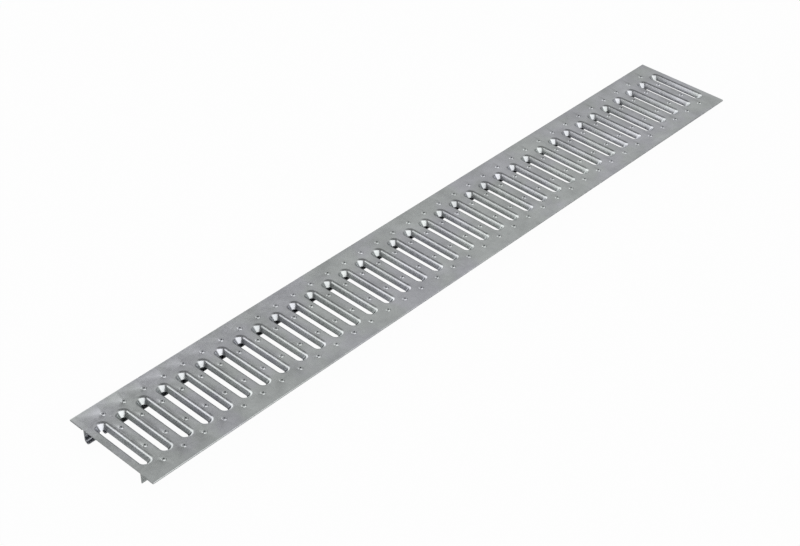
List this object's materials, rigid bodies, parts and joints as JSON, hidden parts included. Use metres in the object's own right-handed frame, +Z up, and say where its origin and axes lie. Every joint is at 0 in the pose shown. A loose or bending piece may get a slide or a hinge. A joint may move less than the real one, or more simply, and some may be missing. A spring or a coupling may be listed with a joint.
{
  "type": "channel drain grate",
  "caption": "Pressed and folded sheet steel grate for a drainage channel, with drawn cross slots, raised grip nubs, hemmed long edges and two curled legs.",
  "frame": {"origin": "under the middle of the grate, level with the foot of the two leg curls", "axes": "+X along the grate, +Y across it, +Z up through the walked-on top"},
  "size_m": [1, 0.136, 0.0209],
  "materials": {
    "galvanised_steel": "hot-dip galvanised, satin, with a faint spangle"
  },
  "bodies": {
    "root": {"grate": "galvanised_steel"}
  },
  "joints": []
}
